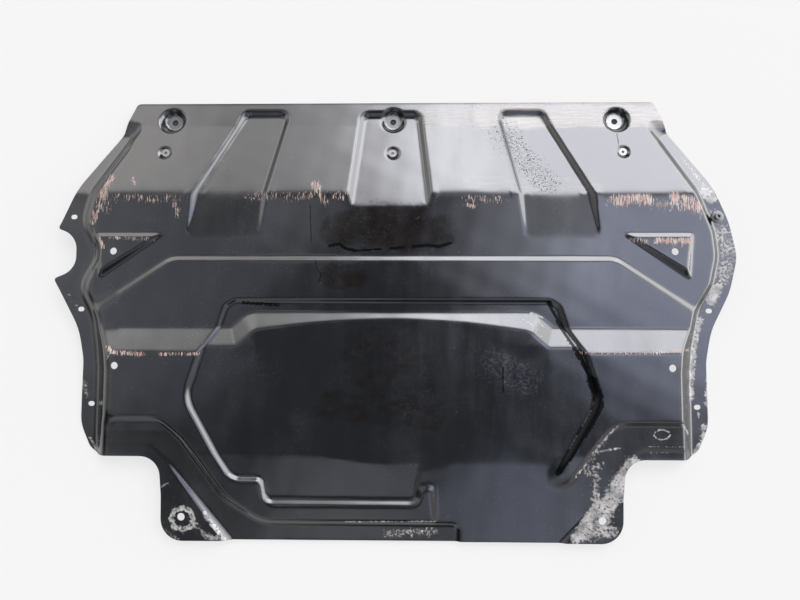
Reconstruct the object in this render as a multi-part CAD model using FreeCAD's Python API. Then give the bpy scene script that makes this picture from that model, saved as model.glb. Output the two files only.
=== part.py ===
import FreeCAD, Part
import math
import os

V = FreeCAD.Vector
os.makedirs("parts", exist_ok=True)

# Sheet and press levels, in mm. The press frame has the low field of the pan at z = 0 with the
# outer face up, x across the car and y from the rear edge to the front edge.
SHEET = 1.5
FRONT_Y = 655.0
REAR_Y = -4.0
MIDDLE_Y = (FRONT_Y + REAR_Y) / 2
FIELD_MID = -13.0
FIELD_FRONT = -16.0
FLANGE_DROP = 9.0
RIDGE_Y = 504.0
RIDGE_RADIUS = 30.0
RAMP_DEG = 15.0
LIP_Y = 615.0
LIP_DEG = 12.0
REAR_BEND_Y = 120.0
REAR_BEND_DEG = 4.0
OCTAGON_DEPTH = 5.0
OCTAGON_FRONT_DEPTH = 3.0
OCTAGON_LEVEL = -9.0
DISH_SAG = 7.0
DISH_HALF = 215.0
RAMP_RECESS = 5.0
TRIANGLE_RISE = 4.0
TRIANGLE_TILT_DEG = 3.5
LUG_LEVEL = -5.0
REAR_LEFT_DROP = 4.0
REAR_RIGHT_EDGE = -9.0
REST_Y = 119.3

# Drafts of the pressed walls, from the horizontal.
STEP_DRAFT = 27.0
BAND_DRAFT = 20.0
WALL_DRAFT = 40.0
FLANGE_DRAFT = 50.0
OCTAGON_DRAFT = 48.0
ARCH_DRAFT = 22.0

# Holes, cups and small hardware.
CUP_X = 345.0
CUP_Y = 627.0
CUP_RIM = 22.0
CUP_FLOOR = 14.5
CUP_DEPTH = 11.0
CUP_HOLE = 9.5
DIMPLE_X = 350.0
DIMPLE_Y = 572.0
DIMPLE_RIM = 9.5
DIMPLE_DEPTH = 3.5
NUT_HOLE = 7.0
NUT_SLEEVE = 6.8
NUT_HEAD = 12.0
NUT_LENGTH = 12.0
NUT_BORE = 4.2
LUG_HOLE_X = 302.0
LUG_HOLE_Y = 30.0
LUG_HOLE = 11.0
SLOT_WIDE = 7.0
SLOT_LONG = 10.0
SLOT_FRONT = (483.0, 470.0)
SLOT_MID = (468.0, 330.0)
SLOT_REAR = (448.0, 189.0)
TRIANGLE_HOLE = (415.0, 416.0)
FIELD_HOLE = (403.0, 247.0)
CLIP_HOLE = 10.5
SCREW_FLANGE = 18.0
SCREW_HEAD = 9.0
SCREW_SOCKET = 4.6
SCREW_SHANK = 5.8

HALF = 620.0
DEEP = -150.0


def tan(angle):
    return math.tan(math.radians(angle))


def mirrored(points):
    return [(-x, y) for x, y in points]


def ring(points, radii, grow, z):
    """Closed outline with rounded corners, moved outward by grow, at height z."""
    count = len(points)
    turn = sum(
        points[i - 1][0] * points[i][1] - points[i][0] * points[i - 1][1] for i in range(count)
    )
    side = 1.0 if turn > 0 else -1.0
    lines = []
    for i in range(count):
        x0, y0 = points[i]
        x1, y1 = points[(i + 1) % count]
        span = math.hypot(x1 - x0, y1 - y0)
        tx = (x1 - x0) / span
        ty = (y1 - y0) / span
        lines.append((x0 + ty * side * grow, y0 - tx * side * grow, tx, ty))
    corners = []
    for i in range(count):
        ax, ay, atx, aty = lines[i - 1]
        bx, by, btx, bty = lines[i]
        cross = atx * bty - aty * btx
        along = ((bx - ax) * bty - (by - ay) * btx) / cross
        corner = V(ax + atx * along, ay + aty * along, z)
        if radii[i] == 0:
            corners.append((corner, None, corner))
            continue
        radius = radii[i] + (grow if cross * side > 0 else -grow)
        angle = math.acos(atx * btx + aty * bty)
        cut = radius * math.tan(angle / 2)
        inward = V(btx - atx, bty - aty, 0).normalize()
        middle = corner + inward * (radius / math.cos(angle / 2) - radius)
        corners.append((corner - V(atx, aty, 0) * cut, middle, corner + V(btx, bty, 0) * cut))
    edges = []
    for i in range(count):
        start, middle, end = corners[i]
        if middle is not None:
            edges.append(Part.Arc(start, middle, end).toShape())
        edges.append(Part.makeLine(end, corners[(i + 1) % count][0]))
    return Part.Wire(edges)


def drafted(points, radii, level, down, up, draft):
    """Solid over an outline at level: it opens upward with a draft above zero, downward below zero."""
    spread = 1 / tan(draft)
    low = ring(points, radii, -down * spread, level - down)
    high = ring(points, radii, up * spread, level + up)
    return Part.makeLoft([low, high], True, True)


def swept(profile):
    """Die with its upper face given as (y, z) points from rear to front, the same all across."""
    points = [V(-HALF, y, z) for y, z in profile]
    points.append(V(-HALF, profile[-1][0], DEEP))
    points.append(V(-HALF, profile[0][0], DEEP))
    points.append(points[0])
    return Part.Face(Part.makePolygon(points)).extrude(V(2 * HALF, 0, 0))


def raised(die, outline, level, down, up, draft, other):
    """Raise the die to the face of another die inside an outline, with drafted walls."""
    points, radii = outline
    plug = drafted(points, radii, level, down, up, -draft)
    return die.fuse(plug.common(other))


def sunk(die, outline, level, down, up, draft, other):
    """Sink the die to the face of another die inside an outline, with drafted walls."""
    points, radii = outline
    opening = drafted(points, radii, level, down, up, draft)
    return die.cut(opening.cut(other))


def revolved(profile, x, y):
    """Solid turned about the vertical line through x, y from (radius, z) points."""
    points = [V(r, 0, z) for r, z in profile]
    points.append(points[0])
    turned = Part.Face(Part.makePolygon(points)).revolve(V(0, 0, 0), V(0, 0, 1), 360)
    return turned.translate(V(x, y, 0))


# Front ramp, ridge and front field: one profile right across, with a rounded ridge.
lip_z = FIELD_FRONT - (LIP_Y - RIDGE_Y) * tan(RAMP_DEG)
past_y = FRONT_Y + 44
past_z = lip_z - (past_y - LIP_Y) * tan(LIP_DEG)
cut_back = RIDGE_RADIUS * tan(RAMP_DEG / 2)
ramp_cos = math.cos(math.radians(RAMP_DEG))
ramp_sin = math.sin(math.radians(RAMP_DEG))
half_cos = math.cos(math.radians(RAMP_DEG / 2))
half_sin = math.sin(math.radians(RAMP_DEG / 2))
bulge = RIDGE_RADIUS / half_cos - RIDGE_RADIUS


def ridge_die(drop):
    """Front profile lowered by drop, with the same rounded ridge."""
    low = V(-HALF, 0, -drop)
    start = V(0, RIDGE_Y - cut_back, FIELD_FRONT) + low
    top = V(0, RIDGE_Y - bulge * half_sin, FIELD_FRONT - bulge * half_cos) + low
    end = V(0, RIDGE_Y + cut_back * ramp_cos, FIELD_FRONT - cut_back * ramp_sin) + low
    rear = V(0, -60, FIELD_FRONT) + low
    lip = V(0, LIP_Y, lip_z) + low
    front = V(0, past_y, past_z) + low
    edges = [
        Part.makeLine(rear, start),
        Part.Arc(start, top, end).toShape(),
        Part.makeLine(end, lip),
        Part.makeLine(lip, front),
        Part.makeLine(front, V(-HALF, past_y, DEEP)),
        Part.makeLine(V(-HALF, past_y, DEEP), V(-HALF, -60, DEEP)),
        Part.makeLine(V(-HALF, -60, DEEP), rear),
    ]
    return Part.Face(Part.Wire(edges)).extrude(V(2 * HALF, 0, 0))


die = ridge_die(0)

# Middle field, a little prouder than the front field; its front line runs back at both ends.
mid_outline = (
    [(-900, -300), (900, -300), (900, 33), (330, 409), (-330, 409), (-900, 33)],
    [0, 0, 0, 40, 40, 0],
)
mid_face = swept([(-60, FIELD_MID), (600, FIELD_MID)])
die = raised(die, mid_outline, FIELD_FRONT, 4, 8, STEP_DRAFT, mid_face)

# Low field behind the long sloping band. It falls away behind the rear bend line.
rear_fall = (REAR_BEND_Y + 60) * tan(REAR_BEND_DEG)
low_face = swept([(-60, -rear_fall), (REAR_BEND_Y, 0), (500, 0)])
low_outline = ([(-900, -300), (900, -300), (900, 303), (-900, 303)], [0, 0, 0, 0])
die = raised(die, low_outline, FIELD_MID, 30, 20, BAND_DRAFT, low_face)

# Raised triangles outboard, each just behind the ridge.
triangle = [(341, 443), (443, 443), (438, 376)]
triangle_fall = tan(TRIANGLE_TILT_DEG)
triangle_face = swept(
    [
        (-60, FIELD_FRONT + TRIANGLE_RISE + (TRIANGLE_HOLE[1] + 60) * triangle_fall),
        (600, FIELD_FRONT + TRIANGLE_RISE + (TRIANGLE_HOLE[1] - 600) * triangle_fall),
    ]
)
for points in (triangle, mirrored(triangle)):
    die = raised(die, (points, [0, 0, 0]), FIELD_FRONT, 3, 9, WALL_DRAFT, triangle_face)

# Three recesses in the ramp. The outer two run on over the ridge and fade into the front field.
ridge_line = V(0, RIDGE_Y, FIELD_FRONT)


def on_ramp(solid):
    turned = solid.copy()
    turned.rotate(ridge_line, V(1, 0, 0), -RAMP_DEG)
    return turned


def ramp_recess(die, points, radii):
    flat = [(x, RIDGE_Y + (y - RIDGE_Y) / ramp_cos) for x, y in points]
    opening = on_ramp(drafted(flat, radii, FIELD_FRONT, 10, 10, WALL_DRAFT))
    return die.cut(opening.cut(on_ramp(floor_block)))


floor_block = Part.makeBox(2 * HALF, 600, 100, V(-HALF, 200, FIELD_FRONT - RAMP_RECESS - 100))
middle_recess = [(-68, 470), (62, 470), (44, 639), (-50, 639)]
die = ramp_recess(die, middle_recess, [14, 14, 14, 14])
outer_recess = [(196, 470), (318, 470), (233, 641), (160, 641)]
for points in (outer_recess, mirrored(outer_recess)):
    die = ramp_recess(die, points, [14, 14, 14, 14])
fade = [(188, 510), (299, 510), (308, 436), (200, 436)]
fade_z = FIELD_FRONT - RAMP_RECESS / ramp_cos
fade_face = swept([(-60, FIELD_FRONT), (438, FIELD_FRONT), (RIDGE_Y, fade_z), (RIDGE_Y + 56, fade_z)])
for points in (fade, mirrored(fade)):
    opening = drafted(points, [0, 0, 14, 14], FIELD_FRONT, 10, 10, WALL_DRAFT)
    die = die.cut(opening.cut(fade_face))

# Octagon in the middle: its floor follows the fields around it, lower by the octagon depth. The
# floor has its own band with an arched front, a shallow dish and a rear part that falls away.
floor_mid = FIELD_MID - OCTAGON_FRONT_DEPTH
inner = swept([(-60, floor_mid), (600, floor_mid)])
arch = [(-900, -300), (900, -300), (900, 303), (238, 303), (212, 326), (-212, 326), (-238, 303), (-900, 303)]
inner_low = swept([(-60, -OCTAGON_DEPTH), (500, -OCTAGON_DEPTH)])
inner = raised(inner, (arch, [0, 0, 0, 0, 42, 42, 0, 0]), floor_mid, 4, 16, ARCH_DRAFT, inner_low)
arch_block = Part.makeBox(456, 52, 60, V(-228, 282, floor_mid - 40))
dish_radius = (DISH_HALF**2 + DISH_SAG**2) / (2 * DISH_SAG)
dish = Part.makeCylinder(dish_radius, 420, V(0, 0, 0), V(0, 1, 0), 360)
dish.translate(V(0, 70, dish_radius - OCTAGON_DEPTH))
dish.rotate(V(0, 70, -OCTAGON_DEPTH), V(1, 0, 0), -math.degrees(math.atan(DISH_SAG / 243)))
inner = inner.cut(dish)
right_fall = (-OCTAGON_DEPTH - REAR_RIGHT_EDGE) / 110
right_face = swept([(-60, REAR_RIGHT_EDGE - 60 * right_fall), (170, REAR_RIGHT_EDGE + 170 * right_fall)])
rear_right = ([(-900, -300), (900, -300), (900, 109), (-900, 109)], [0, 0, 0, 0])
inner = sunk(inner, rear_right, -OCTAGON_DEPTH, 12, 20, WALL_DRAFT, right_face)
tongue_fall = (REAR_BEND_Y + 60) * tan(REAR_BEND_DEG)
tongue_face = swept([(-60, -OCTAGON_DEPTH - tongue_fall - 3), (REAR_BEND_Y, -OCTAGON_DEPTH)])
tongue = ([(-420, -20), (42, -20), (42, 118), (-420, 118)], [0, 0, 0, 0])
inner = sunk(inner, tongue, -OCTAGON_DEPTH, 20, 14, WALL_DRAFT, tongue_face)
octagon = [
    (-234, 348), (234, 348), (250, 338), (293, 202), (222, 79), (40, 79), (40, 53), (-180, 53),
    (-184, 88), (-228, 88), (-293, 202), (-250, 338),
]
octagon_radii = [18, 18, 18, 40, 25, 11, 11, 11, 11, 20, 40, 18]

# Rear steps: the sheet steps down behind a line that runs round the rear corners.
right_step = [(900, 164), (322, 164), (256, 84), (60, 84), (60, -200), (900, -200)]
die = sunk(die, (right_step, [0, 40, 20, 0, 0, 0]), -4, 14, 10, WALL_DRAFT, right_face)
left_fall = 0.06
left_face = swept(
    [(-60, -REAR_LEFT_DROP - 210 * left_fall), (150, -REAR_LEFT_DROP), (260, -REAR_LEFT_DROP)]
)
left_step = [
    (-900, 168), (-338, 168), (-306, 142), (-238, 60), (-185, 29), (106, 29), (106, -200), (-900, -200),
]
left_radii = [0, 40, 60, 60, 60, 18, 0, 0]
die = sunk(die, (left_step, left_radii), -REAR_LEFT_DROP, 14, 10, WALL_DRAFT, left_face)
die = die.fuse(arch_block.common(inner))
die = sunk(die, (octagon, octagon_radii), OCTAGON_LEVEL, 11, 11, OCTAGON_DRAFT, inner)

# Rear lugs with the strips that lead to them along the corner notches.
lug_face = swept([(-60, LUG_LEVEL), (300, LUG_LEVEL)])
left_lug = [(-900, 134), (-354, 134), (-320, 102), (-225, -24), (-900, -24)]
right_lug = [(900, 128), (350, 128), (338, 96), (229, -24), (900, -24)]
for points, radius in ((left_lug, 30), (right_lug, 21)):
    lug_radii = [0, radius, 40, 0, 0]
    die = sunk(die, (points, lug_radii), LUG_LEVEL, 10, 14, WALL_DRAFT, lug_face)
    die = raised(die, (points, lug_radii), LUG_LEVEL, 14, 10, WALL_DRAFT, lug_face)

# Side flanges: they follow the front profile, lower by the flange drop.
flange_face = ridge_die(FLANGE_DROP)
fold = [
    (900, 492), (332, 656), (456, 507), (479, 448), (483, 410), (473, 366), (452, 333),
    (440, 276), (437, 240), (439, -200), (900, -200),
]
fold_radii = [0, 31, 60, 60, 60, 50, 40, 60, 60, 0, 0]
left_fold = [
    (-900, 492), (-332, 656), (-456, 507), (-468, 462), (-440, 415), (-470, 364),
    (-446, 318), (-440, 276), (-437, 240), (-439, -200), (-900, -200),
]
left_fold_radii = [0, 31, 60, 34, 34, 34, 60, 60, 60, 0, 0]
fold_level = FIELD_FRONT - FLANGE_DROP
ramp_flange_foot = [(411, 598), (700, 598), (700, 440), (498, 440)]
ramp_flange_brim = [(361, 646), (700, 646), (700, 440), (475, 440)]
ramp_flange_reach = 12.0
for side in (-1, 1):
    wires = []
    for points, height in ((ramp_flange_foot, -ramp_flange_reach), (ramp_flange_brim, ramp_flange_reach)):
        flat = [(side * x, RIDGE_Y + (y - RIDGE_Y) / ramp_cos) for x, y in points]
        wires.append(ring(flat, [9, 0, 0, 0], 0, FIELD_FRONT + height))
    opening = on_ramp(Part.makeLoft(wires, True, True))
    die = die.cut(opening.cut(flange_face))
for points, radii in ((fold, fold_radii), (left_fold, left_fold_radii)):
    die = sunk(die, (points, radii), fold_level, 36, 26, FLANGE_DRAFT, flange_face)

# Outline of the blank.
right_edge = [
    (403, FRONT_Y), (422, 605), (475, 521), (500, 462), (511, 410), (499, 358), (470, 300),
    (462, 255), (463, 160), (447, 124), (431, 116), (337, 116), (332, 60), (331, REAR_Y + 2),
]
right_edge_radii = [8, 30, 100, 120, 60, 110, 110, 80, 60, 20, 0, 30, 60, 32]
left_edge_points = [
    (-331, REAR_Y), (-332, 60), (-337, 116), (-431, 116), (-447, 124), (-463, 160), (-462, 255),
    (-470, 300), (-499, 354), (-511.6, 376), (-478, 390), (-478, 442), (-507, 452), (-500, 466),
    (-475, 521), (-422, 605), (-403, FRONT_Y),
]
left_edge_radii = [32, 60, 30, 0, 20, 60, 80, 110, 60, 4, 30, 30, 4, 20, 100, 30, 8]
blank = Part.Face(ring(right_edge + left_edge_points, right_edge_radii + left_edge_radii, 0, DEEP + 10))
blank = blank.extrude(V(0, 0, 300))

# At rest the shield lies on the bottoms of its cups and on the rear ends of its flanges.
cup_top = lip_z - (CUP_Y - LIP_Y) * tan(LIP_DEG)
seat_front = cup_top - CUP_DEPTH
seat_rear = fold_level
rest_rad = math.atan((seat_rear - seat_front) / (CUP_Y - REST_Y))
rest_deg = math.degrees(rest_rad)


def at_rest(solid):
    lying = solid.copy()
    lying.rotate(V(0, REST_Y, fold_level - SHEET), V(1, 0, 0), rest_deg)
    lying.translate(V(0, -MIDDLE_Y, SHEET - fold_level))
    return lying


def rest_point(x, y, z):
    dy = y - REST_Y
    dz = z - fold_level + SHEET
    return V(
        x,
        REST_Y + dy * math.cos(rest_rad) - dz * math.sin(rest_rad) - MIDDLE_Y,
        dy * math.sin(rest_rad) + dz * math.cos(rest_rad),
    )


outer_face = at_rest(die)
inner_face = outer_face.translated(V(0, 0, -SHEET))
blank = at_rest(blank)

# Bolt cups with level floors, and the small dimples behind them.
cup_at = [rest_point(x, CUP_Y, cup_top) for x in (-CUP_X, 0, CUP_X)]
for centre in cup_at:
    out = revolved([(0, SHEET), (CUP_FLOOR, SHEET), (CUP_RIM + 6, 32), (0, 32)], centre.x, centre.y)
    under = revolved(
        [(0, 0), (CUP_FLOOR + 1, 0), (CUP_RIM + 7, 32 - SHEET), (0, 32 - SHEET)], centre.x, centre.y
    )
    outer_face = outer_face.cut(out)
    inner_face = inner_face.cut(under)
dimple_z = FIELD_FRONT - (DIMPLE_Y - RIDGE_Y) * tan(RAMP_DEG)
dimple_at = [
    rest_point(-DIMPLE_X, DIMPLE_Y, dimple_z),
    rest_point(0, DIMPLE_Y, dimple_z - RAMP_RECESS),
    rest_point(DIMPLE_X, DIMPLE_Y, dimple_z),
]
for centre in dimple_at:
    seat = centre.z - DIMPLE_DEPTH
    for face, drop, widen in ((0, 0, 0), (1, SHEET, 0.6)):
        bowl = revolved(
            [
                (0, seat - drop),
                (DIMPLE_RIM - 2.5 + widen, seat - drop),
                (DIMPLE_RIM + 6 + widen, seat - drop + 14),
                (0, seat - drop + 14),
            ],
            centre.x,
            centre.y,
        )
        if face == 0:
            outer_face = outer_face.cut(bowl)
        else:
            inner_face = inner_face.cut(bowl)

panel = outer_face.common(blank).cut(inner_face)


# Holes, pierced square to the floor that the shield rests on.
def pierced(diameter, x, y):
    return Part.makeCylinder(diameter / 2, 120, V(x, y, -10))


def slotted(x, y):
    half = (SLOT_LONG - SLOT_WIDE) / 2
    middle = Part.makeBox(2 * half, SLOT_WIDE, 120, V(x - half, y - SLOT_WIDE / 2, -10))
    return pierced(SLOT_WIDE, x - half, y).fuse([middle, pierced(SLOT_WIDE, x + half, y)])


def flange_z(y):
    if y > RIDGE_Y:
        return FIELD_FRONT - FLANGE_DROP - (y - RIDGE_Y) * tan(RAMP_DEG)
    return FIELD_FRONT - FLANGE_DROP


cuts = [pierced(CUP_HOLE, p.x, p.y) for p in cup_at]
cuts += [pierced(NUT_HOLE, p.x, p.y) for p in dimple_at]
for side in (-1, 1):
    lug = rest_point(side * LUG_HOLE_X, LUG_HOLE_Y, LUG_LEVEL)
    cuts.append(pierced(LUG_HOLE, lug.x, lug.y))
    tri = rest_point(side * TRIANGLE_HOLE[0], TRIANGLE_HOLE[1], FIELD_FRONT)
    cuts.append(pierced(CLIP_HOLE, tri.x, tri.y))
    low = rest_point(side * FIELD_HOLE[0], FIELD_HOLE[1], 0)
    cuts.append(pierced(CLIP_HOLE, low.x, low.y))
    for x, y in (SLOT_FRONT, SLOT_MID, SLOT_REAR):
        at = rest_point(side * x, y, flange_z(y))
        cuts.append(slotted(at.x, at.y))
for cut in cuts:
    panel = panel.cut(cut)
panel.exportStep("parts/shield_panel.step")

# Rivet nuts in the dimples: a thin head on the outer face and a sleeve through the sheet.
nuts = []
for p in dimple_at:
    seat = p.z - DIMPLE_DEPTH
    nut = revolved(
        [
            (NUT_BORE / 2, seat - NUT_LENGTH),
            (NUT_SLEEVE / 2, seat - NUT_LENGTH),
            (NUT_SLEEVE / 2, seat),
            (NUT_HEAD / 2, seat),
            (NUT_HEAD / 2, seat + 0.8),
            (NUT_BORE / 2, seat + 0.8),
        ],
        p.x,
        p.y,
    )
    nuts.append(nut)
Part.makeCompound(nuts).exportStep("parts/front_rivet_nuts.step")

# Flange screw left in the front slot of the right flange.
at = rest_point(SLOT_FRONT[0], SLOT_FRONT[1], flange_z(SLOT_FRONT[1]))
screw = revolved(
    [
        (0, at.z - 12),
        (SCREW_SHANK / 2, at.z - 12),
        (SCREW_SHANK / 2, at.z),
        (SCREW_FLANGE / 2, at.z),
        (SCREW_FLANGE / 2, at.z + 1.2),
        (SCREW_HEAD / 2, at.z + 2.0),
        (SCREW_HEAD / 2, at.z + 5.0),
        (SCREW_SOCKET / 2, at.z + 5.0),
        (SCREW_SOCKET / 2, at.z + 2.5),
        (0, at.z + 2.5),
    ],
    at.x,
    at.y,
)
screw.rotate(at, V(1, 0, 0), rest_deg)
screw.translate(V(0, 0, 0.1))
screw.exportStep("parts/flange_screw.step")
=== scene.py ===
import math

import bpy
import numpy as np
from mathutils import Matrix, Vector, geometry, kdtree
from mathutils.bvhtree import BVHTree


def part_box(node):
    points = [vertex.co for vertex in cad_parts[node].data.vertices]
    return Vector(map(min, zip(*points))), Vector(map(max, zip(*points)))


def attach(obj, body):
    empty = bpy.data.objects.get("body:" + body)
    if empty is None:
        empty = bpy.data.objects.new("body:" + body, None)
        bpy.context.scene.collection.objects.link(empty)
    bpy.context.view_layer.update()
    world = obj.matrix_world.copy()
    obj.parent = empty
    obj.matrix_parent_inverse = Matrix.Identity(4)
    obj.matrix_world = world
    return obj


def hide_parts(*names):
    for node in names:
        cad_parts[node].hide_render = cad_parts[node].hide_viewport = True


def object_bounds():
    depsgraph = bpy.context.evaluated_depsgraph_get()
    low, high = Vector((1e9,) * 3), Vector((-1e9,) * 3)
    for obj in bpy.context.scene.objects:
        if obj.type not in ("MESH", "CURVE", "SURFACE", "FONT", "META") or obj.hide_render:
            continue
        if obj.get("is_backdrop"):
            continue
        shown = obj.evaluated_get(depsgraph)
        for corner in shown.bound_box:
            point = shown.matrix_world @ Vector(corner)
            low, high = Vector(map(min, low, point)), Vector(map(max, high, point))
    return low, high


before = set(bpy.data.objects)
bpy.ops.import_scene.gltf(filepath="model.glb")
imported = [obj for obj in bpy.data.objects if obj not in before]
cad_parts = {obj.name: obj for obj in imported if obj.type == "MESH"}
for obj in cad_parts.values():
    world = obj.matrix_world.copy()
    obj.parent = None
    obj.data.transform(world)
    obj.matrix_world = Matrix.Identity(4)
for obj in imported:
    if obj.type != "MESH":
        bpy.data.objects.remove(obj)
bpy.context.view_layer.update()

# Shield panel: one pressed sheet of steel, painted black. The press leaves soft bends, so the
# sheet is drawn again over the construction's own faces, with every bend rounded.
SHEET = 0.0015
CELL = 0.0015
MARGIN = 0.02
BEND_RADIUS = 0.0018
panel_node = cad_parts["shield_panel"]
press_faces = BVHTree.FromPolygons(
    [v.co for v in panel_node.data.vertices], [tuple(p.vertices) for p in panel_node.data.polygons]
)
panel_low, panel_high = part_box("shield_panel")
grid_x = np.arange(panel_low[0] - MARGIN, panel_high[0] + MARGIN, CELL)
grid_y = np.arange(panel_low[1] - MARGIN, panel_high[1] + MARGIN, CELL)
height = np.full((len(grid_y), len(grid_x)), np.nan)
down = Vector((0, 0, -1))
for row, y in enumerate(grid_y):
    for col, x in enumerate(grid_x):
        hit = press_faces.ray_cast(Vector((x, y, 1)), down)[0]
        if hit is not None:
            height[row, col] = hit.z

# Holes and the ground outside the sheet take the height of the nearest metal, so that the bends
# are rounded right up to each edge.
while np.isnan(height).any():
    padded = np.pad(height, 1, constant_values=np.nan)
    around = np.stack([padded[:-2, 1:-1], padded[2:, 1:-1], padded[1:-1, :-2], padded[1:-1, 2:]])
    known = ~np.isnan(around)
    total = np.where(known, around, 0).sum(axis=0)
    count = known.sum(axis=0)
    fill = np.isnan(height) & (count > 0)
    height[fill] = total[fill] / count[fill]


def softened(field, radius):
    """Gaussian blur of a height field, with the radius in metres."""
    reach = int(3 * radius / CELL) + 1
    weights = np.exp(-0.5 * (np.arange(-reach, reach + 1) * CELL / radius) ** 2)
    weights /= weights.sum()
    for axis in (0, 1):
        pad = [(reach, reach) if a == axis else (0, 0) for a in (0, 1)]
        padded = np.pad(field, pad, mode="edge")
        size = field.shape[axis]
        field = sum(w * padded.take(range(k, k + size), axis=axis) for k, w in enumerate(weights))
    return field


def eased(value, start, end):
    """Smooth step from 0 at the start to 1 at the end."""
    t = np.clip((value - start) / (end - start), 0, 1)
    return t * t * (3 - 2 * t)


# The floor of the large recess is one shallow dish and its right wall runs out softly. The ridge, the
# recess's rear wall and the left fold are bent on a larger radius, and the sheet has sprung slightly
# out of true.
DISH_RADIUS = 0.022
WALL_END = (0.238, -0.235)
WALL_END_RADIUS = 0.009
RIDGE_Y = 0.177
RIDGE_RADIUS = 0.0055
REAR_WALL_Y = -0.268
REAR_WALL_RADIUS = 0.0034
LEFT_FOLD_RADIUS = 0.0046
WAVE = 0.0001
RIPPLE = 0.00006
soft = softened(height, BEND_RADIUS)
spread_x, spread_y = np.meshgrid(grid_x, grid_y)
dish = eased(np.abs(spread_x), 0.232, 0.2)
dish = dish * eased(spread_y, -0.215, -0.185) * eased(spread_y, -0.045, -0.075)
soft = soft + dish * (softened(height, DISH_RADIUS) - soft)
fade = eased(np.hypot(spread_x - WALL_END[0], spread_y - WALL_END[1]), 0.03, 0.008)
soft = soft + fade * (softened(height, WALL_END_RADIUS) - soft)
side_slope = np.abs(np.gradient(softened(height, 0.008), CELL, axis=1))
ridge = eased(np.abs(spread_y - RIDGE_Y), 0.026, 0.01) * eased(side_slope, 0.07, 0.02)
soft = soft + ridge * (softened(height, RIDGE_RADIUS) - soft)
rear_wall = eased(spread_x, -0.185, -0.165) * eased(spread_x, 0.09, 0.07)
rear_wall = rear_wall * eased(np.abs(spread_y - REAR_WALL_Y), 0.03, 0.018)
soft = soft + rear_wall * (softened(height, REAR_WALL_RADIUS) - soft)
off_triangle = np.maximum(eased(spread_y, 0.12, 0.13), eased(spread_y, 0.035, 0.025))
off_triangle = np.maximum(off_triangle, eased(spread_x, -0.444, -0.45))
left_fold = eased(spread_x, -0.4, -0.41) * off_triangle
soft = soft + left_fold * (softened(height, LEFT_FOLD_RADIUS) - soft)
soft = soft + WAVE * np.sin(61 * spread_x + 1.3) * np.sin(74 * spread_y + 0.4)
soft = soft + RIPPLE * np.sin(118 * spread_x + 60 * spread_y) * np.sin(97 * spread_y - 39 * spread_x + 2)

# How strongly the sheet is bent at each place and close beside it, so that the mesh can be finer there.
bend = np.abs(softened(height, 0.0052) - softened(height, 0.0026))
near_bend = np.maximum.reduce([np.roll(bend, (a, b), (0, 1)) for a in (-2, 0, 2) for b in (-2, 0, 2)])


def sampled(field, x, y):
    """Value of a grid field at points, between the cells."""
    u = np.clip((x - grid_x[0]) / CELL, 0, len(grid_x) - 1.001)
    v = np.clip((y - grid_y[0]) / CELL, 0, len(grid_y) - 1.001)
    i, j = u.astype(int), v.astype(int)
    s, t = u - i, v - j
    low = field[j, i] * (1 - s) + field[j, i + 1] * s
    high = field[j + 1, i] * (1 - s) + field[j + 1, i + 1] * s
    return low * (1 - t) + high * t


# The trimmed edge and the pierced holes are where the construction's outer face meets its cut sides.
OUTER_FACE_RISE = 0.2
FEWEST_CORNERS = 6


def corner_key(index):
    """Place of a corner, rounded so that corners at one place match."""
    return tuple(round(c, 6) for c in panel_node.data.vertices[index].co)


edge_sides = {}
for face in panel_node.data.polygons:
    keys = [corner_key(i) for i in face.vertices]
    for a, b in zip(keys, keys[1:] + keys[:1]):
        edge_sides.setdefault(frozenset((a, b)), []).append(face.normal.z > OUTER_FACE_RISE)
ahead_of = {}
for pair, sides in edge_sides.items():
    if len(pair) == 2 and len(sides) == 2 and sides[0] != sides[1]:
        a, b = pair
        ahead_of.setdefault(a, []).append(b)
        ahead_of.setdefault(b, []).append(a)
loops = []
unused = set(ahead_of)
while unused:
    point = unused.pop()
    loop = [point]
    while True:
        ahead = [p for p in ahead_of[point] if p in unused]
        if not ahead:
            break
        point = ahead[0]
        unused.discard(point)
        loop.append(point)
    if len(loop) > FEWEST_CORNERS:
        loops.append(np.array(loop)[:, :2])


TRIM_STEP = 0.0026
HOLE_STEP = 0.0013
TRIM_LENGTH = 0.5


def respaced(loop):
    """Points at even steps along a closed loop, closer together round a hole than along the trim."""
    closed = np.vstack([loop, loop[:1]])
    along = np.concatenate([[0], np.cumsum(np.hypot(*np.diff(closed, axis=0).T))])
    step = TRIM_STEP if along[-1] > TRIM_LENGTH else HOLE_STEP
    count = max(16, round(along[-1] / step))
    at = np.linspace(0, along[-1], count, endpoint=False)
    return np.stack([np.interp(at, along, closed[:, 0]), np.interp(at, along, closed[:, 1])], axis=1)


loops = sorted((respaced(loop) for loop in loops), key=len)
edge_points = np.vstack(loops)
edge_tree = kdtree.KDTree(len(edge_points))
for index, (x, y) in enumerate(edge_points):
    edge_tree.insert((x, y, 0), index)
edge_tree.balance()
rims = []
hole_of = []
for number, loop in enumerate(loops):
    start = len(hole_of)
    rims += [(start + k, start + (k + 1) % len(loop)) for k in range(len(loop))]
    hole_of += [number if number < len(loops) - 1 else -1] * len(loop)

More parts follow.
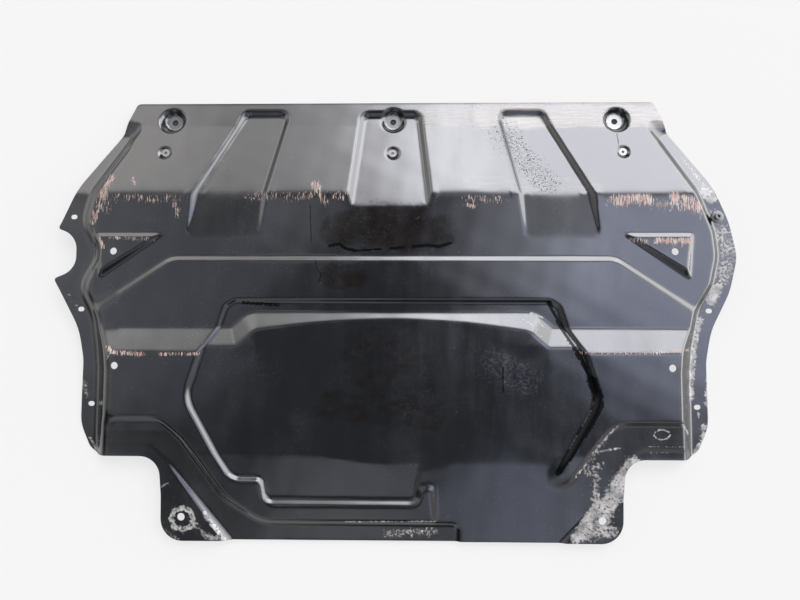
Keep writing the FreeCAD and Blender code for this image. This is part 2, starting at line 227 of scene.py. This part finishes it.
# Wear, and some painted light, on the outer face, as lines in millimetres with a width and a strength: rust
# where the paint was scraped through, bare metal where it was rubbed or flaked away, oil that has run and
# dried, a pale sheen painted along the front lip and the right ramp, and shade painted in the small dimples
# and on the right wall of the large recess.
WEAR_AND_PAINTED_LIGHT = {
    "rust": [
        ("left fold", [(-426, 206), (-434, 182), (-442, 162), (-450, 134)], 8.1, 0.9),
        ("left fold, scraped fan", [(-434, 179), (-430, 156)], 12.2, 0.8),
        ("ridge, left end", [(-417, 170), (-324, 170)], 9.5, 0.5),
        ("ridge, beside the left recess", [(-326, 161), (-321, 146)], 5.4, 0.95),
        ("ramp, left", [(-393, 202), (-389, 192)], 4.1, 0.8),
        ("ridge, left of the middle", [(-217, 173), (-68, 173)], 9.5, 0.5),
        ("ridge, deep scrape", [(-117, 192), (-100, 165)], 9.5, 0.95),
        ("ridge, right of the middle", [(106, 168), (164, 168)], 8.1, 0.6),
        ("ridge, small spot", [(113, 159), (122, 156)], 5.4, 1),
        ("ridge, right", [(326, 166), (375, 168)], 13.5, 1.15),
        ("ridge, right gap", [(375, 162), (419, 160)], 10, 1),
        ("ridge, right end", [(419, 169), (450, 157)], 16, 1.15),
        ("left triangle corner", [(-438, 109), (-431, 95)], 5.4, 1),
        ("left triangle edge", [(-421, 109), (-357, 107)], 4.1, 0.6),
        ("right triangle edge, inner", [(353, 108), (376, 103)], 5.4, 0.75),
        ("right triangle edge, outer", [(388, 105), (437, 105)], 8.1, 1.1),
        ("right triangle side", [(439, 107), (437, 74)], 4.1, 0.55),
        ("left band edge, outer", [(-415, -54), (-407, -61), (-362, -64)], 5.4, 0.95),
        ("left band edge, inner", [(-336, -64), (-282, -63)], 4.1, 0.9),
        ("right band edge, inner", [(270, -59), (357, -60)], 3.4, 0.75),
        ("right band edge, outer", [(357, -60), (432, -54)], 4.1, 0.85),
        ("right fold", [(451, 156), (457, 140)], 5.4, 0.7),
    ],
    "bare": [
        ("right flange, front", [(443, 236), (462, 201), (476, 169)], 8, 0.7),
        ("right flange, before the screw", [(468, 181), (476, 172)], 16, 1.1),
        ("right flange, around the screw", [(478, 150), (492, 136)], 18, 0.35),
        ("right flange, middle", [(491, 121), (499, 100), (498, 72), (490, 56)], 22, 0.72),
        ("right flange, by the slot", [(481, 37), (472, 20)], 14, 1.15),
        ("right fold foot", [(455, -9), (446, -44), (441, -88), (439, -123)], 8, 0.95),
        ("right flange edge", [(466, -84), (462, -135)], 7, 0.95),
        ("right flange end", [(457, -161), (455, -183), (445, -201)], 8.1, 0.9),
        ("right slot", [(449, -145), (450, -151)], 2.7, 1),
        ("right lug", [(347, -218), (331, -239), (320, -257), (307, -281), (289, -309)], 24, 0.9),
        ("right lug, outer", [(336, -235), (324, -260)], 22, 1),
        ("right lug, rear", [(268, -320), (318, -312)], 14, 0.8),
        ("right lug, by the hole", [(290, -292), (312, -308)], 16, 0.6),
        ("right lug wall", [(298, -272), (264, -322)], 13, 1),
        ("beside the right lug", [(294, -236), (292, -257), (294, -272)], 12, 0.72),
        ("right rear scrape", [(323, -164), (301, -188), (285, -211), (265, -235)], 3.4, 0.75),
        ("right rear scrape, wide", [(306, -182), (290, -205), (282, -224)], 12, 0.42),
        ("right rear scrape, branch", [(289, -201), (328, -194)], 3, 0.8),
        ("right rear scrape, foot", [(282, -228), (301, -219)], 12, 0.62),
        ("rear step, right, front scuff", [(367, -192), (422, -192)], 2, 0.5),
        ("rear step, right, rear scuff", [(370, -200), (420, -200)], 1.8, 0.4),
        ("washer mark, front", [(376, -176), (378, -171), (384, -168), (391, -168), (397, -171)], 2, 0.85),
        ("washer mark, rear", [(399, -175), (395, -180), (388, -182), (380, -180), (376, -176)], 2, 0.85),
        ("rear corner", [(416, -161), (429, -174)], 4.1, 0.9),
        ("left lug washer mark, front", [(-316, -300), (-312, -288), (-300, -284), (-289, -288)], 6.8, 0.9),
        ("left lug washer mark, right", [(-289, -288), (-284, -300), (-288, -311)], 6.8, 0.9),
        ("left lug washer mark, rear", [(-288, -311), (-300, -315), (-312, -311), (-316, -300)], 6.8, 0.9),
        ("left lug, rear", [(-282, -309), (-262, -325), (-239, -329)], 8.1, 0.75),
        ("left lug wall", [(-269, -292), (-240, -328)], 5.4, 0.75),
        ("left lug edge", [(-326, -315), (-305, -329)], 4.1, 0.5),
        ("left lug side", [(-334, -254), (-322, -250)], 3.4, 0.6),
        ("rear edge, middle", [(-6, -320), (63, -316)], 10.8, 0.65),
        ("rear step scuffs", [(-65, -302), (66, -300)], 2, 0.8),
        ("left flange, rear", [(-463, -105), (-455, -121)], 8.1, 0.8),
        ("left flange edge", [(-467, -43), (-463, -90)], 3.4, 0.6),
        ("left flange, middle", [(-488, 24), (-476, 8)], 6.8, 0.45),
        ("left flange end", [(-449, -187), (-437, -204)], 3.4, 0.7),
        ("recess front edge", [(205, -1), (221, -7)], 3, 1),
        ("recess floor fleck", [(215, -13), (222, -20)], 2.2, 0.9),
        ("arch corner", [(190, -5), (206, -20), (216, -35)], 6.8, 0.45),
        ("left clip hole", [(-409, -62), (-414, -71)], 1.8, 0.9),
    ],
    "rub_and_sheen": [
        # Partly rubbed paint and partly painted sheen: a pale beige band on the faces that look up, where
        # they catch the light.
        ("front lip, middle", [(52, 308), (140, 308)], 34, 0.8),
        ("front lip, right", [(140, 308), (415, 308)], 36, 1),
        ("right ramp, by the ridge", [(120, 190), (300, 190)], 30, 0.4),
    ],
    "speckled": [
        ("right ramp recess", [(172, 290), (196, 240), (232, 195)], 34, 1),
        ("right ramp", [(150, 275), (165, 250)], 16, 0.6),
    ],
    "stained": [
        ("front field", [(-81, 122), (-44, 134), (12, 114), (72, 118)], 46, 1),
        ("front field, by the pad", [(-40, 150), (40, 148)], 26, 0.8),
        ("below the front step, stain", [(-87, 52), (-54, 52)], 34, 0.9),
        ("recess, middle", [(-30, -70), (20, -95)], 90, 0.6),
        ("recess, rear", [(-90, -135), (60, -150)], 40, 0.65),
    ],
    "dusty": [
        ("recess, right", [(150, -72), (195, -100)], 46, 1),
        ("recess, right of the middle", [(95, -78), (150, -84)], 30, 0.7),
        ("recess, left", [(-190, -75), (-170, -92)], 40, 0.7),
        ("recess, rear right", [(180, -225), (215, -236)], 14, 1),
        ("recess, all over", [(-150, -110), (150, -120)], 150, 0.45),
        ("rear field", [(120, -250), (230, -270)], 90, 0.35),
        ("front field, right", [(120, 130), (300, 140)], 40, 0.35),
    ],
    "oil_and_shade": [
        # Dried oil on the right wall of the large recess, laid on thick to paint the wall's shade as well.
        ("right recess wall", [(288, -98), (297, -119), (298, -135), (284, -160), (272, -177)], 13, 1),
        ("right recess wall, rear", [(272, -177), (256, -204), (240, -229)], 10, 1),
        ("front field puddle, left", [(-92, 98), (-78, 101), (-69, 94), (-54, 91)], 5, 1),
        ("front field puddle, left of the middle", [(-51, 91), (-17, 93)], 3.4, 1),
        ("front field puddle, middle", [(-2, 94), (17, 96)], 4.4, 1),
        ("front field puddle, right", [(32, 97), (53, 99), (70, 97), (87, 102)], 5, 1),
        ("below the front step", [(-113, 76), (-110, 61), (-104, 56), (-108, 43)], 2, 0.8),
        ("front field run", [(-122, 159), (-120, 103)], 2, 0.8),
        ("right recess wall, front", [(231, 14), (257, -38), (279, -77), (294, -112)], 7, 1),
        ("recess run, left", [(162, -81), (162, -116)], 2.7, 0.8),
        ("recess run, right", [(179, -75), (179, -107)], 2, 0.8),
        ("recess front corner", [(-220, 13), (-168, 10)], 5.4, 0.7),
        ("cup run", [(343, 276), (344, 255)], 2, 0.8),
        # Painted shade: dark crescents on the side of each small dimple that is turned away from the light.
        ("left dimple, painted shade", [(-357, 243), (-354.5, 239.6), (-350, 238.2), (-345.5, 239.6)], 3, 1),
        ("centre dimple, painted shade", [(-7, 243), (-4.5, 239.9), (0, 238.5), (4.5, 239.9), (7, 243)], 3.2, 1),
        ("right dimple, painted shade", [(343, 243), (345.5, 239.6), (350, 238.2), (354.5, 239.6)], 3.2, 1),
    ],
}


def distance_to(points, line):
    """Distance of plan points from a line of several straight runs, in metres."""
    nearest = np.full(len(points), 9.0)
    line = np.array(line) / 1000
    for a, b in zip(line[:-1], line[1:]):
        along = np.clip((points - a) @ (b - a) / ((b - a) @ (b - a)), 0, 1)
        nearest = np.minimum(nearest, np.hypot(*(points - a - along[:, None] * (b - a)).T))
    return nearest


def lattice(step):
    """Points of a triangular lattice over the panel."""
    points = []
    for row, y in enumerate(np.arange(panel_low[1], panel_high[1], step * 0.866)):
        x = np.arange(panel_low[0] + (row % 2) * step / 2, panel_high[0], step)
        points.append(np.stack([x, np.full(len(x), y)], axis=1))
    return np.vstack(points)


LINE_STEP = 0.0012
EDGE_GAP = 0.0009
BENT = 0.00012


def meshed(fine, coarse, thin_lines):
    """Plan points and triangles of the sheet, closest together at bends and at thin lines of wear."""
    small, large, smallest = lattice(fine), lattice(coarse), lattice(LINE_STEP)
    at_line = np.full(len(smallest), False)
    by_line = np.full(len(small), False)
    far = np.full(len(large), True)
    for line, width in thin_lines:
        reach = width / 2000 + LINE_STEP
        at_line |= distance_to(smallest, line) < reach
        by_line |= distance_to(small, line) < reach
        far &= distance_to(large, line) >= reach
    small = small[(sampled(near_bend, small[:, 0], small[:, 1]) > BENT) & ~by_line]
    large = large[(sampled(near_bend, large[:, 0], large[:, 1]) <= BENT) & far]
    inside = [
        p
        for p in np.vstack([small, large, smallest[at_line]])
        if edge_tree.find((p[0], p[1], 0))[2] > EDGE_GAP
        and press_faces.ray_cast(Vector((p[0], p[1], 1)), down)[0]
    ]
    flat = [Vector(p) for p in np.vstack([edge_points, inside])]
    cut = geometry.delaunay_2d_cdt(flat, rims, [], 1, 1e-7)
    plan = np.array([tuple(p) for p in cut[0]])
    triangles = np.array(cut[2])
    hole = np.array(hole_of + [-1] * (len(plan) - len(hole_of)))[triangles]
    triangles = triangles[~((hole[:, 0] >= 0) & (hole == hole[:, :1]).all(axis=1))]
    first = plan[triangles[:, 1]] - plan[triangles[:, 0]]
    second = plan[triangles[:, 2]] - plan[triangles[:, 0]]
    clockwise = first[:, 0] * second[:, 1] - first[:, 1] * second[:, 0] < 0
    triangles[clockwise] = triangles[clockwise][:, ::-1]
    return plan, triangles


def facing(plan):
    """Upward normals of the soft sheet at plan points."""
    half = CELL / 2
    x, y = plan.T
    slope_x = (sampled(soft, x + half, y) - sampled(soft, x - half, y)) / CELL
    slope_y = (sampled(soft, x, y + half) - sampled(soft, x, y - half)) / CELL
    normal = np.column_stack([-slope_x, -slope_y, np.ones(len(plan))])
    return normal / np.linalg.norm(normal, axis=1)[:, None]


# The outer face, the inner face one thickness of sheet below it, and the cut edges between them.
THIN = 7
OUTER_STEPS = (0.0026, 0.007)
INNER_STEPS = (0.0036, 0.011)
thin = [(line, width) for lines in WEAR_AND_PAINTED_LIGHT.values() for _, line, width, _ in lines if width < THIN]
top_plan, top_triangles = meshed(*OUTER_STEPS, thin)
low_plan, low_triangles = meshed(*INNER_STEPS, [])
count = len(top_plan)
top = np.column_stack([top_plan, sampled(soft, *top_plan.T)])
low = np.column_stack([low_plan, np.maximum(sampled(soft, *low_plan.T) - SHEET, 0)])
sides = {}
for a, b, c in top_triangles:
    for p, q in ((a, b), (b, c), (c, a)):
        sides[(p, q)] = True
rim_quads = [(q, p, p + count, q + count) for p, q in sides if (q, p) not in sides]
faces = top_triangles.tolist() + (low_triangles[:, ::-1] + count).tolist() + rim_quads
panel_mesh = bpy.data.meshes.new("panel_sheet")
panel_mesh.from_pydata(np.vstack([top, low]).tolist(), [], faces)
panel_mesh.shade_smooth()
smooth_normals = np.vstack([facing(top_plan), -facing(low_plan)])
corner_normals = []
for face in panel_mesh.polygons:
    for vertex in face.vertices:
        corner_normals.append(face.normal if len(face.vertices) == 4 else smooth_normals[vertex])
panel_mesh.normals_split_custom_set([tuple(n) for n in corner_normals])

# Each kind of wear and of painted light is a mask on the outer face, full along its lines and gone a little
# way beside them.
FULL_WEAR = 0.7
NO_WEAR = 1.7
oil_and_shade_marks = None
for name, lines in WEAR_AND_PAINTED_LIGHT.items():
    marks = np.zeros(len(panel_mesh.vertices))
    for _, line, width, strength in lines:
        half = width / 2000
        marked = strength * eased(distance_to(top_plan, line), NO_WEAR * half, FULL_WEAR * half)
        marks[:count] = np.maximum(marks[:count], marked)
    # The pale band is painted sheen as well as rubbing, so it lies only on the faces that look up.
    if name == "rub_and_sheen":
        marks *= eased(smooth_normals[:, 2], 0.88, 0.95)
    # Oil stains and the painted shade in the dimples and on the right recess wall go into one black film.
    if name == "oil_and_shade":
        oil_and_shade_marks = marks
        continue
    panel_mesh.attributes.new(name, "FLOAT", "POINT").data.foreach_set("value", marks)

# The level seats of the three front cups, rubbed white on the right, less in the middle and on the left.
CUP_X = 0.345
CUP_Y = 0.30181
SEAT_RADIUS = 0.0122
SEAT_EDGE = 0.001
seat = np.zeros(len(panel_mesh.vertices))
for seat_x, share in ((CUP_X, 1), (0, 0.4), (-CUP_X, 0.2)):
    from_seat = np.hypot(top_plan[:, 0] - seat_x, top_plan[:, 1] - CUP_Y)
    seat[:count] = np.maximum(seat[:count], share * eased(from_seat, SEAT_RADIUS, SEAT_RADIUS - SEAT_EDGE))
panel_mesh.attributes.new("seat", "FLOAT", "POINT").data.foreach_set("value", seat)
panel = bpy.data.objects.new("panel_sheet", panel_mesh)
bpy.context.scene.collection.objects.link(panel)
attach(panel, "root")
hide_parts("shield_panel")

# The paint itself: thin gloss black, hazy with old dust, scratched pink-brown by rust and chalky grey where
# it has gone, with a pale band of painted sheen, streaked like rubbing, along the front lip and the right
# ramp.
paint = bpy.data.materials.new("worn_black_paint")
paint.use_nodes = True
nodes, wires = paint.node_tree.nodes, paint.node_tree.links
shader = nodes["Principled BSDF"]
place = nodes.new("ShaderNodeTexCoord").outputs["Object"]


def mask(name):
    """One of the wear masks of the sheet."""
    attribute = nodes.new("ShaderNodeAttribute")
    attribute.attribute_name = name
    return attribute.outputs["Fac"]


def grain(scale, stretch=(1, 1, 1), turn=0, detail=5, roughness=0.55):
    """Cloudy noise over the sheet, stretched along a direction."""
    lay = nodes.new("ShaderNodeMapping")
    lay.inputs["Rotation"].default_value = (0, 0, math.radians(turn))
    lay.inputs["Scale"].default_value = stretch
    wires.new(place, lay.inputs["Vector"])
    noise = nodes.new("ShaderNodeTexNoise")
    noise.inputs["Scale"].default_value = scale
    noise.inputs["Detail"].default_value = detail
    noise.inputs["Roughness"].default_value = roughness
    wires.new(lay.outputs["Vector"], noise.inputs["Vector"])
    return noise.outputs[0]


def combined(operation, *values):
    """Result of a sum on two or three values, of which any may be plain numbers."""
    step = nodes.new("ShaderNodeMath")
    step.operation = operation
    for socket, value in zip(step.inputs, values):
        if isinstance(value, (int, float)):
            socket.default_value = value
        else:
            wires.new(value, socket)
    return step.outputs["Value"]


def ramped(value, start, end, low=0.0, high=1.0):
    """Value carried from one range to another and held at its ends."""
    scale = nodes.new("ShaderNodeMapRange")
    scale.inputs["From Min"].default_value = start
    scale.inputs["From Max"].default_value = end
    scale.inputs["To Min"].default_value = low
    scale.inputs["To Max"].default_value = high
    wires.new(value, scale.inputs["Value"])
    return scale.outputs["Result"]


def noise_edged(marks, noise, depth, start, soft_edge):
    """Where a mark shows, for wear and painted light alike: the mask pushed over a limit by the noise."""
    pushed = combined("MULTIPLY_ADD", noise, depth, marks)
    shown = ramped(pushed, start + depth / 2, start + depth / 2 + soft_edge)
    return combined("MULTIPLY", shown, ramped(marks, 0.02, 0.12))


def blended(amount, under, over):
    """Colour laid over another, either of them plain or from the nodes."""
    mix = nodes.new("ShaderNodeMix")
    mix.data_type = "RGBA"
    wires.new(amount, mix.inputs[0])
    for socket, colour in ((mix.inputs[6], under), (mix.inputs[7], over)):
        if isinstance(colour, tuple):
            socket.default_value = (*colour, 1)
        else:
            wires.new(colour, socket)
    return mix.outputs[2]


scratch = combined(
    "MAXIMUM", grain(100, (11, 0.9, 1), 9, 2, 0.5), grain(100, (9, 1, 1), -24, 2, 0.5)
)
blotch = grain(260, detail=6, roughness=0.72)
cloud = grain(9, detail=7, roughness=0.62)
streak = grain(16, (2.2, 0.3, 1), 2, 7, 0.62)
rub_lines = grain(60, (0.5, 14, 1), 1, 5, 0.6)
dots = grain(900, detail=2, roughness=0.5)
patch = grain(70, detail=6, roughness=0.6)

rust = noise_edged(mask("rust"), scratch, 6.0, 1.2, 0.25)
bare = noise_edged(mask("bare"), blotch, 3.2, 0.54, 0.4)
rub_and_sheen = noise_edged(mask("rub_and_sheen"), rub_lines, 1.8, 0.42, 1.3)
speckled = noise_edged(mask("speckled"), grain(520, detail=1), 6.0, 1.35, 0.5)
haze = combined("MULTIPLY", ramped(cloud, 0.45, 0.72), ramped(streak, 0.3, 0.65))
flecks = combined("MULTIPLY", ramped(dots, 0.69, 0.75), ramped(cloud, 0.45, 0.55, 0.15, 1))
stained = noise_edged(mask("stained"), patch, 1.9, 0.4, 0.7)
dusty = noise_edged(mask("dusty"), blotch, 3.2, 0.9, 0.8)

colour = blended(haze, (0.0025, 0.0026, 0.003), (0.006, 0.0064, 0.0076))
colour = blended(stained, colour, (0.0055, 0.0034, 0.002))
colour = blended(dusty, colour, (0.032, 0.0355, 0.046))
colour = blended(flecks, colour, (0.16, 0.16, 0.16))
# Pale beige painted sheen, streaked like rubbed paint.
colour = blended(rub_and_sheen, colour, (0.42, 0.375, 0.32))
rust_tone = blended(ramped(patch, 0.42, 0.6), (0.31, 0.155, 0.112), (0.45, 0.35, 0.29))
colour = blended(rust, colour, rust_tone)
bare_tone = blended(ramped(patch, 0.36, 0.6), (0.13, 0.124, 0.116), (0.4, 0.38, 0.355))
colour = blended(bare, colour, bare_tone)
colour = blended(mask("seat"), colour, (0.6, 0.6, 0.59))
colour = blended(speckled, colour, (0.012, 0.012, 0.013))
wires.new(colour, shader.inputs["Base Color"])

dull = ramped(streak, 0.3, 0.7, 0.12, 0.18)
dull = combined("MULTIPLY_ADD", haze, 0.1, dull)
dull = combined("MULTIPLY_ADD", stained, -0.03, dull)
dull = combined("MULTIPLY_ADD", dusty, 0.1, dull)
dull = combined("MULTIPLY_ADD", rust, 0.45, dull)
dull = combined("MULTIPLY_ADD", bare, 0.3, dull)
dull = combined("MULTIPLY_ADD", rub_and_sheen, 0.25, dull)
dull = combined("MULTIPLY_ADD", speckled, 0.7, dull)
wires.new(ramped(dull, 0, 1, 0, 1), shader.inputs["Roughness"])
wires.new(ramped(stained, 0, 1, 0.5, 0.24), shader.inputs["Specular IOR Level"])
shader.inputs["IOR"].default_value = 1.9

orange_peel = ramped(grain(420, detail=2), 0, 1, 0, 0.12)
relief = combined("MULTIPLY_ADD", combined("ADD", rust, bare), -0.6, orange_peel)
bump = nodes.new("ShaderNodeBump")
bump.inputs["Strength"].default_value = 0.35
bump.inputs["Distance"].default_value = 0.00025
wires.new(relief, bump.inputs["Height"])
wires.new(bump.outputs["Normal"], shader.inputs["Normal"])
panel_mesh.materials.append(paint)

# Old engine oil and dirt, dried on the sheet to a black film with a ragged edge, which shines less than the
# paint around it. The same black film is painted shade in the lower side of the three small dimples, and
# partly painted shade on the right wall of the large recess.
oil_and_shade = bpy.data.materials.new("dried_oil_and_painted_shade")
oil_and_shade.use_nodes = True
shader = oil_and_shade.node_tree.nodes["Principled BSDF"]
shader.inputs["Base Color"].default_value = (0.0015, 0.0015, 0.0015, 1)
shader.inputs["Roughness"].default_value = 0.2
shader.inputs["IOR"].default_value = 1.28
panel_mesh.materials.append(oil_and_shade)
ragged = 0.5 + 0.22 * np.sin(900 * top_plan[:, 0] + 310 * top_plan[:, 1]) * np.sin(770 * top_plan[:, 1])
dark_film = oil_and_shade_marks[:count] > ragged
for face in panel_mesh.polygons[: len(top_triangles)]:
    if all(dark_film[i] for i in face.vertices):
        face.material_index = 1

# Rivet nuts: three turned steel nuts with dull zinc plate, pulled up in the small dimples behind the
# front cups.
zinc = bpy.data.materials.new("dull_zinc")
zinc.use_nodes = True
shader = zinc.node_tree.nodes["Principled BSDF"]
shader.inputs["Base Color"].default_value = (0.42, 0.41, 0.4, 1)
shader.inputs["Metallic"].default_value = 0.9
shader.inputs["Roughness"].default_value = 0.36
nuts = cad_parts["front_rivet_nuts"]
nuts.data.materials.clear()
nuts.data.materials.append(zinc)

# Flange screw: one turned steel screw with a washer head and darkened zinc plate, left in the front
# slot of the right flange when the shield came off.
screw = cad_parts["flange_screw"]
screw.data.materials.clear()
dark_zinc = zinc.copy()
dark_zinc.name = "dark_zinc"
dark_zinc.node_tree.nodes["Principled BSDF"].inputs["Base Color"].default_value = (0.16, 0.157, 0.15, 1)
screw.data.materials.append(dark_zinc)

# Pale floor, one plain painted board that glows a little. A small dark disc under each front cup paints the
# shade in its bolt hole, so that the hole looks dark.
FLOOR_REACH = 12.0
SHADE_DISC_RADIUS = 0.006
SHADE_DISC_SIDES = 24
SHADE_DISC_HEIGHT = 0.00004
floor_mesh = bpy.data.meshes.new("floor")
spots = [(FLOOR_REACH * x, FLOOR_REACH * y, 0) for x, y in ((-1, -1), (1, -1), (1, 1), (-1, 1))]
floor_faces = [(0, 1, 2, 3)]
for shade_disc_x in (-CUP_X, 0, CUP_X):
    floor_faces.append(tuple(range(len(spots), len(spots) + SHADE_DISC_SIDES)))
    for k in range(SHADE_DISC_SIDES):
        turn = math.tau * k / SHADE_DISC_SIDES
        shade_disc_edge = (shade_disc_x + SHADE_DISC_RADIUS * math.cos(turn), CUP_Y + SHADE_DISC_RADIUS * math.sin(turn))
        spots.append((*shade_disc_edge, SHADE_DISC_HEIGHT))
floor_mesh.from_pydata(spots, [], floor_faces)
floor = bpy.data.objects.new("floor", floor_mesh)
bpy.context.scene.collection.objects.link(floor)
floor_paint = bpy.data.materials.new("pale_floor")
floor_paint.use_nodes = True
shader = floor_paint.node_tree.nodes["Principled BSDF"]
shader.inputs["Base Color"].default_value = (0.13, 0.129, 0.126, 1)
shader.inputs["Roughness"].default_value = 0.9
shader.inputs["Specular IOR Level"].default_value = 0.1
shader.inputs["Emission Color"].default_value = (1, 0.995, 0.985, 1)
shader.inputs["Emission Strength"].default_value = 0.72
floor_mesh.materials.append(floor_paint)
# Painted shade: near-black discs on the floor under the bolt holes of the cups.
shade_disc_paint = bpy.data.materials.new("painted_shade_disc")
shade_disc_paint.use_nodes = True
shader = shade_disc_paint.node_tree.nodes["Principled BSDF"]
shader.inputs["Base Color"].default_value = (0.03, 0.03, 0.03, 1)
shader.inputs["Roughness"].default_value = 0.95
floor_mesh.materials.append(shade_disc_paint)
for face in floor_mesh.polygons[1:]:
    face.material_index = 1
floor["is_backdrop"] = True

# Soft studio light: pale all round and low down, dim overhead, with soft boxes at the front and on the
# right. Dark flags, whose light is taken away, keep some of the walls of the press forms black.
world = bpy.data.worlds.new("studio")
bpy.context.scene.world = world
world.use_nodes = True
nodes, wires = world.node_tree.nodes, world.node_tree.links
way = nodes.new("ShaderNodeTexCoord").outputs["Generated"]
background = nodes["Background"]


def softbox(direction, edge, core, colour):
    """Light that grows from nothing at the edge angle to its full colour at the core angle."""
    dot = nodes.new("ShaderNodeVectorMath")
    dot.operation = "DOT_PRODUCT"
    wires.new(way, dot.inputs[0])
    dot.inputs[1].default_value = Vector(direction).normalized()
    ramp = nodes.new("ShaderNodeMapRange")
    ramp.interpolation_type = "SMOOTHSTEP"
    ramp.inputs["From Min"].default_value = math.cos(math.radians(edge))
    ramp.inputs["From Max"].default_value = math.cos(math.radians(core))
    wires.new(dot.outputs["Value"], ramp.inputs["Value"])
    tint = nodes.new("ShaderNodeVectorMath")
    tint.operation = "SCALE"
    tint.inputs[0].default_value = colour
    wires.new(ramp.outputs["Result"], tint.inputs["Scale"])
    return tint.outputs["Vector"]


glow = None
for _, direction, edge, core, colour in (
    ("all round", (0.03, 0.1, -0.99), 162, 142, (0.68, 0.68, 0.7)),
    ("overhead", (0, -0.1, 0.99), 40, 12, (0.12, 0.13, 0.15)),
    ("left rear flag", (-0.76, -0.44, 0.48), 28, 12, (-0.62, -0.62, -0.62)),
    ("left", (-0.88, 0.24, 0.4), 26, 8, (0.75, 0.75, 0.75)),
    ("rear flag", (0.1, -0.84, 0.53), 24, 10, (-0.6, -0.6, -0.6)),
    ("front flag", (0, 0.97, 0.15), 28, 12, (-0.6, -0.6, -0.6)),
    ("right", (0.9, 0.26, 0.34), 40, 20, (4.2, 4.2, 4.3)),
    ("front right, main", (0.29, 0.7, 0.65), 25, 13, (5.4, 5.45, 5.9)),
    ("front middle", (-0.05, 0.66, 0.75), 14, 5, (1.6, 1.6, 1.65)),
    ("front left", (-0.48, 0.66, 0.58), 20, 8, (1.7, 1.65, 1.6)),
    ("right of overhead", (0.43, 0.04, 0.9), 16, 6, (1.6, 1.75, 2.35)),
    ("overhead, right", (0.2, 0.08, 0.975), 10, 4, (1.0, 1.03, 1.2)),
    ("overhead, front right", (0.2, 0.32, 0.93), 12, 5, (0.6, 0.62, 0.7)),
    ("overhead, left", (-0.2, 0.15, 0.97), 7, 2, (0.6, 0.63, 0.7)),
    ("left of overhead", (-0.42, 0, 0.9), 15, 6, (0.34, 0.37, 0.44)),
    ("rear, left", (-0.1, -0.47, 0.88), 9, 4, (0.48, 0.5, 0.57)),
    ("rear, right", (0.18, -0.41, 0.9), 10, 4, (0.7, 0.76, 1.0)),
):
    light = softbox(direction, edge, core, colour)
    if glow is None:
        glow = light
        continue
    both = nodes.new("ShaderNodeVectorMath")
    wires.new(glow, both.inputs[0])
    wires.new(light, both.inputs[1])
    glow = both.outputs["Vector"]
no_less = nodes.new("ShaderNodeVectorMath")
no_less.operation = "MAXIMUM"
wires.new(glow, no_less.inputs[0])
wires.new(no_less.outputs["Vector"], background.inputs["Color"])

# Camera: it looks down on the sheet from where its outline and holes fall as in the photograph, tilted,
# panned and rolled a little.
camera_data = bpy.data.cameras.new("camera")
camera_data.lens = 27.23
camera_data.sensor_width = 36.0
camera = bpy.data.objects.new("camera", camera_data)
camera.location = (0.0313, -0.0891, 0.9122)
tilt, pan, roll = math.radians(6.87), math.radians(-1.2), math.radians(0.156)
ahead = Vector((0, math.sin(tilt), -math.cos(tilt)))
across = Vector((1, 0, 0))
ahead, across = (
    ahead * math.cos(pan) + across * math.sin(pan),
    across * math.cos(pan) - ahead * math.sin(pan),
)
upward = across.cross(ahead)
across, upward = (
    across * math.cos(roll) + upward * math.sin(roll),
    upward * math.cos(roll) - across * math.sin(roll),
)
camera.rotation_euler = Matrix((across, upward, -ahead)).transposed().to_euler()
bpy.context.scene.collection.objects.link(camera)
bpy.context.scene.camera = camera
bpy.context.scene.view_settings.view_transform = "Standard"

low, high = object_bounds()
